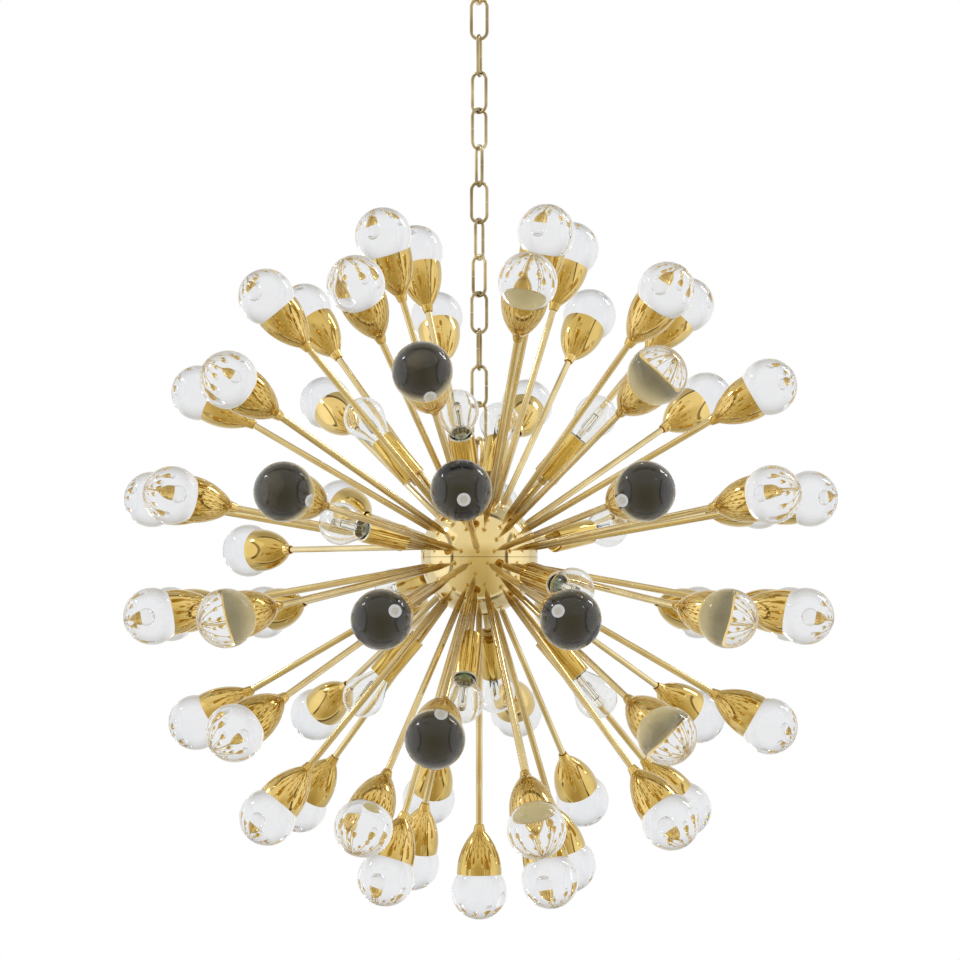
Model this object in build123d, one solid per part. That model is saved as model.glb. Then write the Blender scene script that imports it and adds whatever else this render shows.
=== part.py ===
from build123d import *
import math
import os

# A round chandelier of brass arms with glass balls, hung from the ceiling on a chain.
# Sizes are in millimetres. The ceiling is the plane Z = 0, the chain hangs down the Z axis.
# Latitudes are in degrees from the hub's equator, azimuths in degrees from +X towards +Y.

# Fits shared by all pieces
FIT = 0.05
SEAT = 0.02

# Ceiling bracket, canopy and their stem
BRACKET_LENGTH = 100.0
BRACKET_WIDTH = 22.0
BRACKET_THICKNESS = 3.0
BRACKET_HOLE_SPACING = 80.0
BRACKET_HOLE_DIAMETER = 5.2
CANOPY_DIAMETER = 120.0
CANOPY_DEPTH = 28.0
CANOPY_RIM = 5.0
CANOPY_FLAT_DIAMETER = 30.0
CANOPY_WALL = 1.2
CANOPY_COLLAR_DIAMETER = 20.0
CANOPY_COLLAR_HEIGHT = 8.0
STEM_DIAMETER = 10.0
STEM_NUT_ACROSS_FLATS = 17.0
STEM_NUT_HEIGHT = 5.0

# Suspension loops, the same piece under the canopy and on top of the hub
LOOP_WIRE = 5.0
LOOP_OUTER_DIAMETER = 34.5
LOOP_ROOT = 3.5
LOOP_COLLAR_DIAMETER = 13.0
LOOP_COLLAR_LENGTH = 12.0
LOOP_COLLAR_CHAMFER = 1.5
LOOP_SOCKET_DEPTH = 8.0
CANOPY_LOOP_AZIMUTH = 105.0
HUB_LOOP_AZIMUTH = 104.0

# Chain, whose links hang at uneven turns
LINK_LENGTH = 46.8
LINK_WIDTH = 20.4
LINK_WIRE = 3.5
LINK_SEAM = 0.4
CHAIN_GAP = 0.3
LINK_AZIMUTHS = (0, 80, 149, 211, 291, 350, 62, 140, 200, 261, 336, 34)

# Hub
HUB_DIAMETER = 126.0
HUB_WALL = 3.0
HUB_LIP_HEIGHT = 3.5
HUB_LIP_DEPTH = 4.0
HUB_LIP_THICKNESS = 2.3
HUB_LIP_CLEARANCE = 0.2
HUB_STEM_RISE = 24.0
HUB_NECK_DIAMETER = 19.0
HUB_NECK_HEIGHT = 8.0
INLET_DIAMETER = 4.5
TERMINAL_DIAMETER = 34.0
TERMINAL_HEIGHT = 14.0
TERMINAL_HOLE_COUNT = 12
TERMINAL_HOLE_DIAMETER = 4.0
TERMINAL_HOLE_CIRCLE_DIAMETER = 24.0

# Rods, the same for crystals and lamps
ROD_DIAMETER = 7.0
SPIGOT_DIAMETER = 5.0
SPIGOT_LENGTH = 9.5
LOCK_NUT_ACROSS_FLATS = 8.0
LOCK_NUT_HEIGHT = 4.0

# Crystal arms
BALL_DIAMETER = 60.0
BALL_RING_RADIUS = 360.0
BALL_SEAT_DEPTH = 19.0
BALL_HOLE_DEPTH = 10.0
CUP_LENGTH = 45.5
CUP_WALL = 0.9
CUP_NECK_DIAMETER = 13.4
FERRULE_LENGTH = 8.0
FERRULE_TOP_DIAMETER = 9.6
FERRULE_SOCKET = 3.0
FERRULE_COUNTERSINK = 1.6
FERRULE_LIP = 0.35
ROD_TIP_DIAMETER = 4.0
ROD_TIP_GRIP = 6.0
STUD_DIAMETER = 5.8
STUD_COLLAR_DIAMETER = 11.0
STUD_COLLAR_HEIGHT = 4.0

# Lamp arms
SLEEVE_DIAMETER = 28.0
SLEEVE_LENGTH = 55.0
SLEEVE_WALL = 0.8
SLEEVE_LIP_WIDTH = 2.6
SLEEVE_LIP_HEIGHT = 1.2
SLEEVE_FLOOR = 1.2
SLEEVE_MOUTH_RADIUS = 167.0
LAMP_COLLAR_DIAMETER = 10.0
LAMP_COLLAR_LENGTH = 8.0
LAMP_COLLAR_BEAD = 0.5
LAMP_COLLAR_BEAD_HEIGHT = 1.6
LAMP_COLLAR_SOCKET = 3.0
LAMP_TIP_DIAMETER = 5.6
LAMP_TIP_GRIP = 6.0
WIRE_BORE_DIAMETER = 3.0
HOLDER_RECESS = 2.5
HOLDER_MOUTH_DIAMETER = 20.0
HOLDER_MOUTH_DEPTH = 4.0
HOLDER_SIDE_GAP = 0.15
CAP_DIAMETER = 13.9
CAP_LENGTH = 20.0
CAP_CONTACT_DIAMETER = 5.0
CAP_CONTACT_HEIGHT = 2.5
BULB_DIAMETER = 45.0
BULB_NECK_DIAMETER = 16.4
BULB_WALL = 0.8
BULB_CENTRE_ABOVE_MOUTH = 30.0
BULB_NECK_BELOW_MOUTH = 4.0
BULB_STEM_DIAMETER = 6.4
BULB_STEM_FLARE_DIAMETER = 12.0
BULB_STEM_FLARE_HEIGHT = 1.5
BULB_STEM_LENGTH = 15.0
CAPSULE_DIAMETER = 9.6
CAPSULE_LENGTH = 30.0

# Layout of one half of the hub: latitude, number of arms and azimuth of the first arm of each ring.
# The lower half is the same piece turned over, and the two halves are not quite in line.
CRYSTAL_LATITUDES = (70, 50, 30, 10)
CRYSTAL_COUNTS = (4, 8, 8, 12)
CRYSTAL_FIRST_AZIMUTHS = (45.0, 22.5, 0.0, 7.5)
LAMP_LATITUDES = (50, 10)
LAMP_COUNTS = (4, 2)
LAMP_FIRST_AZIMUTHS = (0.0, 52.5)
UPPER_TURN_ANGLE = -10.3
LOWER_TURN_ANGLE = -8.0

# One arm at the back has bent at its root and hangs lower than its ring
SAGGING_RING = "upper_10"
SAGGING_INDEX = 5
SAG_DROP_ANGLE = 10.55
SAG_SWING_ANGLE = -11.4

# Radii and places that follow from the sizes above
HUB_RADIUS = HUB_DIAMETER / 2
HUB_INNER_RADIUS = HUB_RADIUS - HUB_WALL
HUB_STEM_HEIGHT = HUB_RADIUS + HUB_STEM_RISE
STEM_RADIUS = STEM_DIAMETER / 2
STEM_HOLE_RADIUS = STEM_RADIUS + FIT
ROD_RADIUS = ROD_DIAMETER / 2
SPIGOT_RADIUS = SPIGOT_DIAMETER / 2
SPIGOT_HOLE_RADIUS = SPIGOT_RADIUS + FIT
BALL_RADIUS = BALL_DIAMETER / 2
LINK_SPAN = LINK_LENGTH - LINK_WIRE
LOOP_RADIUS = (LOOP_OUTER_DIAMETER - LOOP_WIRE) / 2
LOOP_CENTRE = LOOP_COLLAR_LENGTH - LOOP_ROOT + LOOP_OUTER_DIAMETER / 2
LOOP_REACH = LOOP_CENTRE + LOOP_RADIUS
LOOP_TO_LINK = (LOOP_WIRE + LINK_WIRE) / 2 + CHAIN_GAP
LINK_PITCH = LINK_SPAN - LINK_WIRE - CHAIN_GAP
CANOPY_LOOP_Z = -(CANOPY_DEPTH + CANOPY_COLLAR_HEIGHT)
FIRST_LINK_Z = CANOPY_LOOP_Z - LOOP_REACH + LOOP_TO_LINK - LINK_SPAN / 2
LAST_LINK_Z = FIRST_LINK_Z - LINK_PITCH * (len(LINK_AZIMUTHS) - 1)
HUB_Z = LAST_LINK_Z - LINK_SPAN / 2 + LOOP_TO_LINK - LOOP_REACH - HUB_STEM_HEIGHT
CUP_BASE = BALL_RING_RADIUS - BALL_SEAT_DEPTH - CUP_LENGTH
ROD_END = CUP_BASE - FERRULE_LENGTH + FERRULE_SOCKET
SLEEVE_BASE = SLEEVE_MOUTH_RADIUS - SLEEVE_LENGTH
LAMP_ROD_END = SLEEVE_BASE - LAMP_COLLAR_LENGTH + LAMP_COLLAR_SOCKET
HOLDER_BASE = SLEEVE_BASE + SLEEVE_FLOOR
HOLDER_TOP = SLEEVE_MOUTH_RADIUS - HOLDER_RECESS
CAP_TOP = SLEEVE_MOUTH_RADIUS - BULB_NECK_BELOW_MOUTH
CAP_BASE = CAP_TOP - CAP_LENGTH
BULB_CENTRE = SLEEVE_MOUTH_RADIUS + BULB_CENTRE_ABOVE_MOUTH
BULB_STEM_TOP = CAP_TOP + BULB_STEM_LENGTH


def turned(edges):
    """A solid turned about Z from a closed outline of (radius, height) edges."""
    return revolve(Plane.XZ * make_face(edges), Axis.Z)


def turned_corners(*corners):
    """A solid turned about Z from the corners of its half section."""
    return turned(Polyline(*corners, close=True))


def ring(outer_radius, inner_radius, bottom, top):
    """A plain turned ring between two heights."""
    return turned_corners(
        (inner_radius, bottom),
        (outer_radius, bottom),
        (outer_radius, top),
        (inner_radius, top),
    )


def cylinder(radius, bottom, top):
    """A plain cylinder on the Z axis between two heights."""
    return Pos(0, 0, bottom) * Cylinder(radius, top - bottom, align=(Align.CENTER, Align.CENTER, Align.MIN))


def hex_nut(across_flats, height, hole_radius):
    """A hexagon nut standing on Z = 0."""
    return extrude(RegularPolygon(across_flats / 2, 6, major_radius=False) - Circle(hole_radius), height)


def nut_corner(across_flats):
    """Distance from a nut's axis to its corners."""
    return across_flats / 2 / math.cos(math.pi / 6)


def section_radius(sphere_radius, offset):
    """Radius of the circle in which a plane at this offset cuts a sphere."""
    return math.sqrt(sphere_radius ** 2 - offset ** 2)


def save(node, solids):
    """Writes one named piece, or one group of like pieces."""
    shapes = [solid for shape in solids for solid in shape.solids()]
    export_step(Compound(shapes) if len(shapes) > 1 else shapes[0], f"parts/{node}.step")


def arm_place(latitude, azimuth):
    """The frame of an arm: origin at the hub's centre, +Z out along the arm."""
    return Pos(0, 0, HUB_Z) * Rot(0, 0, azimuth) * Rot(0, 90 - latitude, 0)


def ring_places(latitudes, counts, first_azimuths, side, turn):
    """Arm frames of each ring on one half of the hub, +1 for the upper half and -1 for the lower."""
    places = {}
    for latitude, count, first in zip(latitudes, counts, first_azimuths):
        azimuths = [side * (first + step * 360 / count) + turn for step in range(count)]
        places[latitude] = [arm_place(side * latitude, azimuth) for azimuth in azimuths]
    return places


# Ceiling bracket: a flat strap with two screw holes and a hole for the stem
def ceiling_bracket():
    holes = Locations((-BRACKET_HOLE_SPACING / 2, 0), (BRACKET_HOLE_SPACING / 2, 0))
    strap = SlotOverall(BRACKET_LENGTH, BRACKET_WIDTH) - Circle(STEM_HOLE_RADIUS)
    strap -= holes * Circle(BRACKET_HOLE_DIAMETER / 2)
    return extrude(strap, -BRACKET_THICKNESS)


# Canopy: a spun bowl, straight at its rim and flat under the collar
def ceiling_canopy():
    flat = CANOPY_FLAT_DIAMETER / 2
    reach = CANOPY_DIAMETER / 2 - flat
    drop = CANOPY_DEPTH - CANOPY_RIM
    outer = EllipticalCenterArc((flat, -CANOPY_RIM), reach, drop, start_angle=270, arc_size=90)
    inner_reach = reach - CANOPY_WALL
    inner_drop = drop - CANOPY_WALL
    inner = EllipticalCenterArc((flat, -CANOPY_RIM), inner_reach, inner_drop, start_angle=270, arc_size=90)
    rim = CANOPY_DIAMETER / 2
    outline = outer + inner
    outline += Polyline(outer @ 1, (rim, 0), (rim - CANOPY_WALL, 0), inner @ 1)
    floor = -CANOPY_DEPTH
    outline += Polyline(
        inner @ 0, (STEM_HOLE_RADIUS, floor + CANOPY_WALL), (STEM_HOLE_RADIUS, floor), outer @ 0
    )
    return turned(outline)


# Suspension loop: a ring on a collar that screws onto a stem, standing on Z = 0
def suspension_loop():
    radius = LOOP_COLLAR_DIAMETER / 2
    collar = cylinder(radius, 0, LOOP_COLLAR_LENGTH)
    collar = chamfer(collar.edges().filter_by(GeomType.CIRCLE), LOOP_COLLAR_CHAMFER)
    loop = Pos(0, 0, LOOP_CENTRE) * Rot(90, 0, 0) * Torus(LOOP_RADIUS, LOOP_WIRE / 2)
    return collar + loop - cylinder(STEM_HOLE_RADIUS, 0, LOOP_SOCKET_DEPTH)


# Chain link: wire bent to a long loop in the XZ plane, with a butt seam in one leg
def chain_link():
    bend = (LINK_WIDTH - LINK_WIRE) / 2
    leg = LINK_SPAN - 2 * bend
    path = Plane.XZ * SlotCenterToCenter(leg, 2 * bend, rotation=90).face().outer_wire()
    section = Plane(path @ 0, z_dir=path % 0) * Circle(LINK_WIRE / 2)
    link = sweep(section, path)
    return link - Pos(bend, 0, 0) * Box(2 * LINK_WIRE, 2 * LINK_WIRE, LINK_SEAM)


# Hub shells: two half balls that meet at the equator, the lower one with a locating lip
def hub_shell(side, places, pole_hole_radius):
    half = Pos(0, 0, side * HUB_RADIUS / 2) * Box(HUB_DIAMETER, HUB_DIAMETER, HUB_RADIUS)
    shell = (Sphere(HUB_RADIUS) - Sphere(HUB_INNER_RADIUS)) & half
    if side < 0:
        lip_radius = section_radius(HUB_INNER_RADIUS, HUB_LIP_HEIGHT) - HUB_LIP_CLEARANCE
        inside = lip_radius - HUB_LIP_THICKNESS
        root = HUB_INNER_RADIUS + HUB_WALL / 4
        shell += turned_corners(
            (inside, -HUB_LIP_DEPTH),
            (root, -HUB_LIP_DEPTH),
            (root, 0),
            (lip_radius, 0),
            (lip_radius, HUB_LIP_HEIGHT),
            (inside, HUB_LIP_HEIGHT),
        )
    shell = Pos(0, 0, HUB_Z) * shell
    drill_start = HUB_INNER_RADIUS - HUB_WALL
    drill_end = HUB_RADIUS + HUB_WALL
    hole = cylinder(SPIGOT_HOLE_RADIUS, drill_start, drill_end)
    pole = arm_place(side * 90, 0) * cylinder(pole_hole_radius, drill_start, drill_end)
    return shell - [place * hole for place in places] - pole


# Neck collar: saddled on the hub's crown round the stem
def hub_neck_collar():
    radius = HUB_NECK_DIAMETER / 2
    collar = cylinder(radius, section_radius(HUB_RADIUS, radius) - FIT, HUB_RADIUS + HUB_NECK_HEIGHT)
    collar = chamfer(collar.edges().sort_by(Axis.Z)[-1], LOOP_COLLAR_CHAMFER)
    collar -= Sphere(HUB_RADIUS + SEAT)
    return Pos(0, 0, HUB_Z) * (collar - cylinder(STEM_HOLE_RADIUS, 0, 2 * HUB_RADIUS))


# Tie rod: a threaded tube from the lower pole to the loop, with a side inlet for the supply
def hub_tie_rod():
    bottom = -section_radius(HUB_INNER_RADIUS, STEM_RADIUS) + SEAT
    top = HUB_STEM_HEIGHT + LOOP_SOCKET_DEPTH - SEAT
    rod = ring(STEM_RADIUS, SPIGOT_HOLE_RADIUS, bottom, top)
    inlet_height = (HUB_RADIUS + HUB_NECK_HEIGHT + HUB_STEM_HEIGHT) / 2
    inlet = Pos(0, STEM_RADIUS, inlet_height) * Rot(90, 0, 0) * Cylinder(INLET_DIAMETER / 2, STEM_DIAMETER)
    return Pos(0, 0, HUB_Z) * (rod - inlet)


# Terminal block: a ring clamped round the tie rod, with a bore for each lamp's lead
def hub_terminal_block():
    block = ring(TERMINAL_DIAMETER / 2, STEM_HOLE_RADIUS, -TERMINAL_HEIGHT / 2, TERMINAL_HEIGHT / 2)
    bore = Cylinder(TERMINAL_HOLE_DIAMETER / 2, 2 * TERMINAL_HEIGHT)
    bores = PolarLocations(TERMINAL_HOLE_CIRCLE_DIAMETER / 2, TERMINAL_HOLE_COUNT) * bore
    return Pos(0, 0, HUB_Z) * (block - bores)


# Crystal rod: spigot through the hub, shank into the ferrule, tip through the cup into the stud
def crystal_rod():
    tip = ROD_TIP_DIAMETER / 2
    root = HUB_RADIUS - SPIGOT_LENGTH
    rod = cylinder(SPIGOT_RADIUS, root, HUB_RADIUS)
    rod += cylinder(ROD_RADIUS, HUB_RADIUS, ROD_END)
    return rod + cylinder(tip, ROD_END, CUP_BASE + CUP_WALL + ROD_TIP_GRIP)


# Bent crystal rod: the spigot stays in its hole and the shank leaves it at an angle
def bent_rod(bend, bend_radius):
    tip = ROD_TIP_DIAMETER / 2
    shank = cylinder(ROD_RADIUS, bend_radius, ROD_END)
    shank += cylinder(tip, ROD_END, CUP_BASE + CUP_WALL + ROD_TIP_GRIP)
    rod = cylinder(SPIGOT_RADIUS, HUB_RADIUS - SPIGOT_LENGTH, bend_radius)
    return rod + Pos(0, 0, bend_radius) * Sphere(ROD_RADIUS) + bend * shank


# Ferrule: a tapered collar with a socket for the rod, countersunk at its mouth
def crystal_ferrule():
    start = CUP_BASE - FERRULE_LENGTH
    top = FERRULE_TOP_DIAMETER / 2
    hole = ROD_TIP_DIAMETER / 2 + FIT
    socket = ROD_RADIUS + FIT
    return turned_corners(
        (socket, start + FERRULE_COUNTERSINK),
        (top - FERRULE_LIP, start),
        (top, start),
        (CUP_NECK_DIAMETER / 2, CUP_BASE),
        (hole, CUP_BASE),
        (hole, ROD_END),
        (socket, ROD_END),
    )


# Cup: a spun tulip whose side is one arc, upright at the rim on which the ball sits
def crystal_cup():
    rim = section_radius(BALL_RADIUS, BALL_SEAT_DEPTH) + FIT + CUP_WALL
    neck = CUP_NECK_DIAMETER / 2
    flare = rim - neck
    arc_radius = (flare ** 2 + CUP_LENGTH ** 2) / (2 * flare)
    centre = (rim - arc_radius, CUP_LENGTH)
    inner_radius = arc_radius - CUP_WALL
    sweep_outer = math.degrees(math.asin(CUP_LENGTH / arc_radius))
    sweep_inner = math.degrees(math.asin((CUP_LENGTH - CUP_WALL) / inner_radius))
    hole = ROD_TIP_DIAMETER / 2 + FIT
    outer = CenterArc(centre, arc_radius, -sweep_outer, sweep_outer)
    inner = CenterArc(centre, inner_radius, -sweep_inner, sweep_inner)
    outline = outer + inner + Line(outer @ 1, inner @ 1)
    outline += Polyline(inner @ 0, (hole, CUP_WALL), (hole, 0), outer @ 0)
    return Pos(0, 0, CUP_BASE) * turned(outline)


# Stud: clamps the cup on the rod's tip and holds the ball by its blind hole
def ball_stud():
    base = CUP_BASE + CUP_WALL
    collar_top = base + STUD_COLLAR_HEIGHT
    top = BALL_RING_RADIUS - BALL_RADIUS + BALL_HOLE_DEPTH - SEAT
    stud = cylinder(STUD_COLLAR_DIAMETER / 2, base, collar_top)
    stud += cylinder(STUD_DIAMETER / 2, collar_top, top)
    return stud - cylinder(ROD_TIP_DIAMETER / 2 + FIT, base, base + ROD_TIP_GRIP + FIT)


# Glass ball with a blind hole for its stud
def crystal_ball():
    foot = BALL_RING_RADIUS - BALL_RADIUS
    hole = cylinder(STUD_DIAMETER / 2 + FIT, foot - BALL_RADIUS, foot + BALL_HOLE_DEPTH)
    return Pos(0, 0, BALL_RING_RADIUS) * Sphere(BALL_RADIUS) - hole


# Lamp tube: as a crystal rod, bored for the leads
def lamp_tube():
    tip = LAMP_TIP_DIAMETER / 2
    bore = WIRE_BORE_DIAMETER / 2
    root = HUB_RADIUS - SPIGOT_LENGTH
    end = HOLDER_BASE + LAMP_TIP_GRIP
    return turned_corners(
        (bore, root),
        (SPIGOT_RADIUS, root),
        (SPIGOT_RADIUS, HUB_RADIUS),
        (ROD_RADIUS, HUB_RADIUS),
        (ROD_RADIUS, LAMP_ROD_END),
        (tip, LAMP_ROD_END),
        (tip, end),
        (bore, end),
    )


# Lamp collar: clamps the sleeve against the holder, with a bead round its middle
def lamp_collar():
    start = SLEEVE_BASE - LAMP_COLLAR_LENGTH
    middle = (start + SLEEVE_BASE) / 2
    bead = LAMP_COLLAR_BEAD_HEIGHT / 2
    side = LAMP_COLLAR_DIAMETER / 2
    hole = LAMP_TIP_DIAMETER / 2 + FIT
    socket = ROD_RADIUS + FIT
    return turned_corners(
        (socket, start),
        (side, start),
        (side, middle - bead),
        (side + LAMP_COLLAR_BEAD, middle),
        (side, middle + bead),
        (side, SLEEVE_BASE),
        (hole, SLEEVE_BASE),
        (hole, LAMP_ROD_END),
        (socket, LAMP_ROD_END),
    )


# Sleeve: a brass cup round the lampholder, its mouth rolled in to a lip
def lamp_sleeve():
    outside = SLEEVE_DIAMETER / 2
    inside = outside - SLEEVE_WALL
    lip = outside - SLEEVE_LIP_WIDTH
    lip_base = SLEEVE_MOUTH_RADIUS - SLEEVE_LIP_HEIGHT
    hole = LAMP_TIP_DIAMETER / 2 + FIT
    return turned_corners(
        (hole, SLEEVE_BASE),
        (outside, SLEEVE_BASE),
        (outside, SLEEVE_MOUTH_RADIUS),
        (lip, SLEEVE_MOUTH_RADIUS),
        (lip, lip_base),
        (inside, lip_base),
        (inside, HOLDER_BASE),
        (hole, HOLDER_BASE),
    )


# Lampholder: a moulded socket, wider at its mouth for the bulb's neck
def lampholder():
    outside = SLEEVE_DIAMETER / 2 - SLEEVE_WALL - HOLDER_SIDE_GAP
    mouth = HOLDER_MOUTH_DIAMETER / 2
    mouth_floor = HOLDER_TOP - HOLDER_MOUTH_DEPTH
    socket = CAP_DIAMETER / 2 + FIT
    socket_floor = CAP_BASE - CAP_CONTACT_HEIGHT - SEAT
    hole = LAMP_TIP_DIAMETER / 2 + FIT
    grip = HOLDER_BASE + LAMP_TIP_GRIP + FIT
    body = turned_corners(
        (0, HOLDER_BASE),
        (outside, HOLDER_BASE),
        (outside, HOLDER_TOP),
        (mouth, HOLDER_TOP),
        (mouth, mouth_floor),
        (socket, mouth_floor),
        (socket, socket_floor),
        (0, socket_floor),
    )
    return body - cylinder(hole, HOLDER_BASE, grip)


# Bulb cap: a screw shell with its foot contact
def bulb_cap():
    shell = cylinder(CAP_DIAMETER / 2, CAP_BASE, CAP_TOP)
    return shell + cylinder(CAP_CONTACT_DIAMETER / 2, CAP_BASE - CAP_CONTACT_HEIGHT, CAP_BASE)


def bulb_outline(inset):
    """Neck and ball of the bulb, inset from the outside: foot of the neck, tangent point and ball arc."""
    radius = BULB_DIAMETER / 2 - inset
    foot = (BULB_NECK_DIAMETER / 2 - inset, CAP_TOP)
    height = BULB_CENTRE - CAP_TOP
    distance = math.hypot(foot[0], height)
    flare = math.degrees(math.asin(radius / distance) - math.atan(foot[0] / height))
    ball = CenterArc((0, BULB_CENTRE), radius, -flare, 90 + flare)
    return Line(foot, ball @ 0), ball


# Bulb globe: a thin glass ball drawn in to a neck
def bulb_globe():
    outer_neck, outer_ball = bulb_outline(0)
    inner_neck, inner_ball = bulb_outline(BULB_WALL)
    outline = outer_neck + outer_ball + inner_neck + inner_ball
    outline += Line(outer_neck @ 0, inner_neck @ 0)
    outline += Line(outer_ball @ 1, inner_ball @ 1)
    return turned(outline)


# Bulb stem: the glass foot inside the neck that carries the capsule
def bulb_stem():
    flare_top = CAP_TOP + BULB_STEM_FLARE_HEIGHT
    stem = cylinder(BULB_STEM_FLARE_DIAMETER / 2, CAP_TOP, flare_top)
    return stem + cylinder(BULB_STEM_DIAMETER / 2, flare_top, BULB_STEM_TOP)


# Bulb capsule: a small round-topped tube standing on the stem
def bulb_capsule():
    radius = CAPSULE_DIAMETER / 2
    dome_centre = BULB_STEM_TOP + CAPSULE_LENGTH - radius
    return cylinder(radius, BULB_STEM_TOP, dome_centre) + Pos(0, 0, dome_centre) * Sphere(radius)


os.makedirs("parts", exist_ok=True)

# Ceiling fitting
stem_nut = hex_nut(STEM_NUT_ACROSS_FLATS, STEM_NUT_HEIGHT, STEM_HOLE_RADIUS)
loop_piece = suspension_loop()
nipple_end = CANOPY_LOOP_Z - LOOP_SOCKET_DEPTH + SEAT
canopy_collar = ring(CANOPY_COLLAR_DIAMETER / 2, STEM_HOLE_RADIUS, CANOPY_LOOP_Z, -CANOPY_DEPTH)
collar_edge = canopy_collar.edges().group_by(Axis.Z)[0].sort_by(SortBy.RADIUS)[-1]
canopy_collar = chamfer(collar_edge, LOOP_COLLAR_CHAMFER)
canopy_loop_turn = Rot(0, 0, CANOPY_LOOP_AZIMUTH) * Rot(180, 0, 0)
save("ceiling_bracket", [ceiling_bracket()])
save("bracket_lock_nut", [Pos(0, 0, -BRACKET_THICKNESS - STEM_NUT_HEIGHT) * stem_nut])
save("canopy_nipple", [ring(STEM_RADIUS, SPIGOT_HOLE_RADIUS, nipple_end, -SEAT)])
save("ceiling_canopy", [ceiling_canopy()])
save("canopy_collar", [canopy_collar])
save("canopy_loop", [Pos(0, 0, CANOPY_LOOP_Z) * canopy_loop_turn * loop_piece])

# Chain
link_piece = chain_link()
for number, azimuth in enumerate(LINK_AZIMUTHS):
    link_place = Pos(0, 0, FIRST_LINK_Z - LINK_PITCH * number) * Rot(0, 0, azimuth)
    save(f"chain_link_{number + 1:02d}", [link_place * link_piece])

# Arm frames of both halves
crystal_layout = (CRYSTAL_LATITUDES, CRYSTAL_COUNTS, CRYSTAL_FIRST_AZIMUTHS)
lamp_layout = (LAMP_LATITUDES, LAMP_COUNTS, LAMP_FIRST_AZIMUTHS)
upper_crystals = ring_places(*crystal_layout, 1, UPPER_TURN_ANGLE)
lower_crystals = ring_places(*crystal_layout, -1, LOWER_TURN_ANGLE)
upper_lamps = ring_places(*lamp_layout, 1, UPPER_TURN_ANGLE)
lower_lamps = ring_places(*lamp_layout, -1, LOWER_TURN_ANGLE)
upper_places = sum([*upper_crystals.values(), *upper_lamps.values()], [])
lower_places = sum([*lower_crystals.values(), *lower_lamps.values()], [])
lamp_places = sum([*upper_lamps.values(), *lower_lamps.values()], [])

# Hub
stem_nut_top = section_radius(HUB_INNER_RADIUS, nut_corner(STEM_NUT_ACROSS_FLATS)) - SEAT
lock_nut_top = section_radius(HUB_INNER_RADIUS, nut_corner(LOCK_NUT_ACROSS_FLATS)) - SEAT
lock_nut = hex_nut(LOCK_NUT_ACROSS_FLATS, LOCK_NUT_HEIGHT, SPIGOT_HOLE_RADIUS)
lock_nut = Pos(0, 0, lock_nut_top - LOCK_NUT_HEIGHT) * lock_nut
save("hub_loop", [Pos(0, 0, HUB_Z + HUB_STEM_HEIGHT) * Rot(0, 0, HUB_LOOP_AZIMUTH) * loop_piece])
save("hub_neck_collar", [hub_neck_collar()])
save("hub_upper_shell", [hub_shell(1, upper_places, STEM_HOLE_RADIUS)])
save("hub_lower_shell", [hub_shell(-1, lower_places, SPIGOT_HOLE_RADIUS)])
save("hub_tie_rod", [hub_tie_rod()])
save("tie_rod_nut", [Pos(0, 0, HUB_Z + stem_nut_top - STEM_NUT_HEIGHT) * stem_nut])
save("hub_terminal_block", [hub_terminal_block()])
save("arm_lock_nuts", [place * lock_nut for place in upper_places + lower_places])

# Crystal arms, one node of rods, cups and balls for each ring; the lower pole goes with its nearest ring
rod_piece = crystal_rod()
cup_piece = crystal_cup()
ball_piece = crystal_ball()
ferrule_piece = crystal_ferrule()
stud_piece = ball_stud()
crystal_rings = {f"upper_{latitude}": places for latitude, places in upper_crystals.items()}
crystal_rings.update({f"lower_{latitude}": places for latitude, places in lower_crystals.items()})
crystal_rings["lower_70"] = crystal_rings["lower_70"] + [arm_place(-90, 0)]

# The bend of the sagging arm turns its shank about a point just off the hub, down and sideways
bend_radius = HUB_RADIUS + ROD_RADIUS + FIT
sag_turn = Rot(0, SAG_DROP_ANGLE, 0) * Rot(-SAG_SWING_ANGLE, 0, 0)
sag_bend = Pos(0, 0, bend_radius) * sag_turn * Pos(0, 0, -bend_radius)
sagging_rod = bent_rod(sag_bend, bend_radius)

ferrules = []
studs = []
for name, places in crystal_rings.items():
    rods = [place * rod_piece for place in places]
    ends = list(places)
    if name == SAGGING_RING:
        rods[SAGGING_INDEX] = places[SAGGING_INDEX] * sagging_rod
        ends[SAGGING_INDEX] = places[SAGGING_INDEX] * sag_bend
    save(f"crystal_rods_{name}", rods)
    save(f"crystal_cups_{name}", [end * cup_piece for end in ends])
    save(f"crystal_balls_{name}", [end * ball_piece for end in ends])
    ferrules += [end * ferrule_piece for end in ends]
    studs += [end * stud_piece for end in ends]
save("crystal_ferrules", ferrules)
save("ball_studs", studs)

# Lamp arms
lamp_pieces = {
    "lamp_tubes": lamp_tube(),
    "lamp_collars": lamp_collar(),
    "lamp_sleeves": lamp_sleeve(),
    "lampholders": lampholder(),
    "bulb_caps": bulb_cap(),
    "bulb_globes": bulb_globe(),
    "bulb_stems": bulb_stem(),
    "bulb_capsules": bulb_capsule(),
}
for node, piece in lamp_pieces.items():
    save(node, [place * piece for place in lamp_places])
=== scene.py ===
import math
import random

import bmesh
import bpy
from mathutils import Matrix, Vector


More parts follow.
